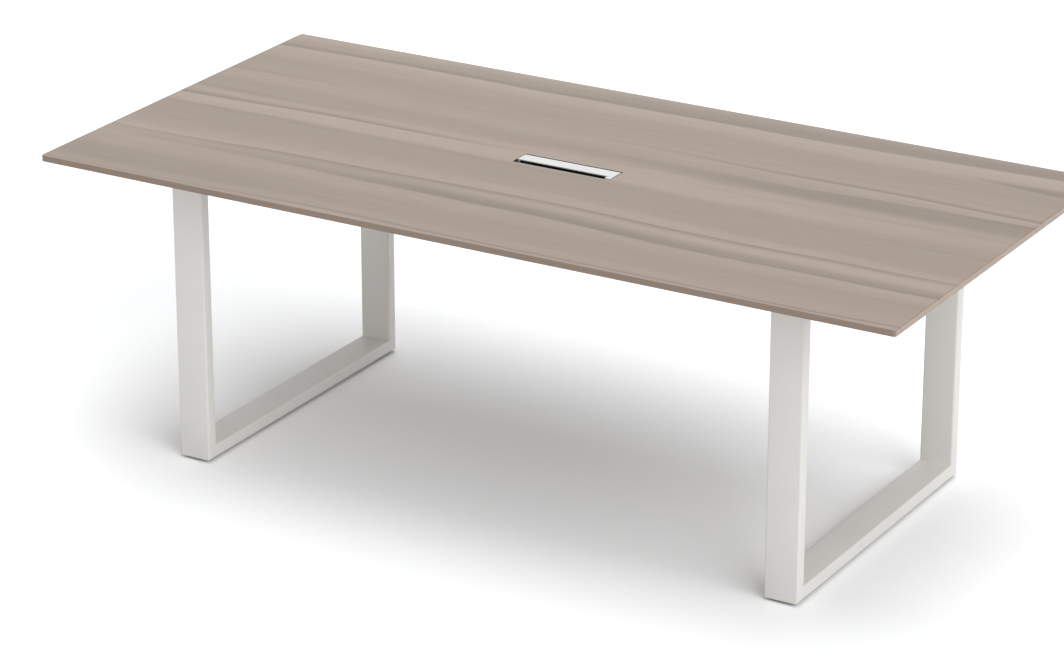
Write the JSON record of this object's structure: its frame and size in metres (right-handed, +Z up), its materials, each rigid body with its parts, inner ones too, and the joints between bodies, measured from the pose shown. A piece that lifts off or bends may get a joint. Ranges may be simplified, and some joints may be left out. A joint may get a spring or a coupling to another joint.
{
  "type": "conference table",
  "caption": "Rectangular meeting table: wood-decor top with a bevelled underside on closed loop legs of flat tube, with a hinged cable port in the middle and levelling glides.",
  "frame": {"origin": "on the floor under the middle of the top", "axes": "+X along the table to its right end, -Y to the front that the picture is taken from, +Z up"},
  "size_m": [2.1, 1.05, 0.7206],
  "materials": {
    "wood_decor": "matt wood-grain laminate",
    "edge_brown": "matt brown edge band",
    "board": "brown sealed board with a bevelled underside",
    "backing": "plain backing sheet",
    "leg_paint": "light warm grey powder coat",
    "rail_paint": "black powder coat",
    "zinc_steel": "zinc plated",
    "insert_brass": "turned brass",
    "black_plastic": "moulded black plastic",
    "lid_aluminium": "pale satin anodised extrusion",
    "white_plastic": "moulded white plastic"
  },
  "bodies": {
    "table": {"top_core": "board", "top_laminate": "wood_decor", "top_backer": "backing", "top_edge_band": "edge_brown", "left_front_post": "leg_paint", "left_rear_post": "leg_paint", "left_foot_beam": "leg_paint", "left_head_beam": "leg_paint", "left_front_fixing_plate": "leg_paint", "left_rear_fixing_plate": "leg_paint", "right_front_post": "leg_paint", "right_rear_post": "leg_paint", "right_foot_beam": "leg_paint", "right_head_beam": "leg_paint", "right_front_fixing_plate": "leg_paint", "right_rear_fixing_plate": "leg_paint", "frame_bolt_left_front_inner": "zinc_steel", "threaded_insert_left_front_inner": "insert_brass", "frame_bolt_left_front_outer": "zinc_steel", "threaded_insert_left_front_outer": "insert_brass", "frame_bolt_left_rear_inner": "zinc_steel", "threaded_insert_left_rear_inner": "insert_brass", "frame_bolt_left_rear_outer": "zinc_steel", "threaded_insert_left_rear_outer": "insert_brass", "frame_bolt_right_front_inner": "zinc_steel", "threaded_insert_right_front_inner": "insert_brass", "frame_bolt_right_front_outer": "zinc_steel", "threaded_insert_right_front_outer": "insert_brass", "frame_bolt_right_rear_inner": "zinc_steel", "threaded_insert_right_rear_inner": "insert_brass", "frame_bolt_right_rear_outer": "zinc_steel", "threaded_insert_right_rear_outer": "insert_brass", "front_rail": "rail_paint", "front_rail_left_end_plate": "rail_paint", "front_rail_right_end_plate": "rail_paint", "rear_rail": "rail_paint", "rear_rail_left_end_plate": "rail_paint", "rear_rail_right_end_plate": "rail_paint", "glide_nut_left_front": "zinc_steel", "glide_nut_left_rear": "zinc_steel", "glide_nut_right_front": "zinc_steel", "glide_nut_right_rear": "zinc_steel", "port_box": "black_plastic", "hinge_pin_left": "zinc_steel", "hinge_pin_right": "zinc_steel", "cable_tray": "rail_paint"},
    "lid": {"lid_profile": "lid_aluminium", "lid_end_cap_left": "white_plastic", "lid_end_cap_right": "white_plastic"},
    "glide_left_front": {"glide_pad_left_front": "black_plastic", "glide_stem_left_front": "zinc_steel"},
    "glide_left_rear": {"glide_pad_left_rear": "black_plastic", "glide_stem_left_rear": "zinc_steel"},
    "glide_right_front": {"glide_pad_right_front": "black_plastic", "glide_stem_right_front": "zinc_steel"},
    "glide_right_rear": {"glide_pad_right_rear": "black_plastic", "glide_stem_right_rear": "zinc_steel"}
  },
  "joints": [
    {"name": "lid_hinge", "type": "hinge", "parent": "table", "child": "lid", "pos_m": [0, 0.0225, 0.7168], "axis": [-1, 0, 0], "range_deg": [0, 105]},
    {"name": "glide_left_front_height", "type": "slide", "parent": "table", "child": "glide_left_front", "axis": [0, 0, -1], "range_m": [0, 0.012]},
    {"name": "glide_left_rear_height", "type": "slide", "parent": "table", "child": "glide_left_rear", "axis": [0, 0, -1], "range_m": [0, 0.012]},
    {"name": "glide_right_front_height", "type": "slide", "parent": "table", "child": "glide_right_front", "axis": [0, 0, -1], "range_m": [0, 0.012]},
    {"name": "glide_right_rear_height", "type": "slide", "parent": "table", "child": "glide_right_rear", "axis": [0, 0, -1], "range_m": [0, 0.012]}
  ]
}
